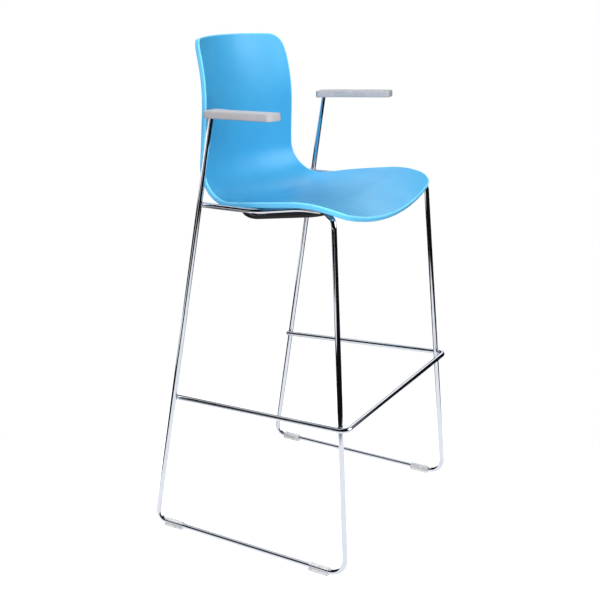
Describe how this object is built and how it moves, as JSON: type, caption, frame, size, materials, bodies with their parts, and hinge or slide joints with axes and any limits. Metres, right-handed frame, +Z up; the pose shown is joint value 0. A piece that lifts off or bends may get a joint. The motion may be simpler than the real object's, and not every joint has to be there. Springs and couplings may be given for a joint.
{
  "type": "sled base bar stool",
  "caption": "Bar stool with a moulded one-piece seat and back on a bent-rod sled base with a footrest, arm pads and glides.",
  "frame": {"origin": "on the floor, below the middle of the sled base", "axes": "+X to the sitter's left, +Y to the back of the stool, +Z up; the stool faces -Y"},
  "size_m": [0.56, 0.4979, 1.0942],
  "materials": {
    "chrome": "polished chrome plate on steel",
    "blue_shell": "fine-grained injection-moulded polypropylene",
    "grey_pad": "satin moulded polyurethane",
    "black_plastic": "fine-textured moulded plastic",
    "clear_glide": "translucent moulded plastic",
    "zinc_steel": "bright zinc plate",
    "black_steel": "black zinc plate",
    "brass": "turned, uncoated"
  },
  "bodies": {
    "root": {"left_side_frame": "chrome", "right_side_frame": "chrome", "footrest": "chrome", "front_cross_plate": "chrome", "rear_cross_plate": "chrome", "shell": "blue_shell", "seat_inserts": "brass", "seat_screws": "zinc_steel", "seat_washers": "zinc_steel", "under_seat_pan": "black_plastic", "pan_screws": "black_steel", "left_arm_bracket": "chrome", "right_arm_bracket": "chrome", "left_arm_pad": "grey_pad", "right_arm_pad": "grey_pad", "arm_pad_screws": "zinc_steel", "rear_left_glide": "clear_glide", "rear_right_glide": "clear_glide", "front_left_glide": "clear_glide", "front_right_glide": "clear_glide"}
  },
  "joints": []
}
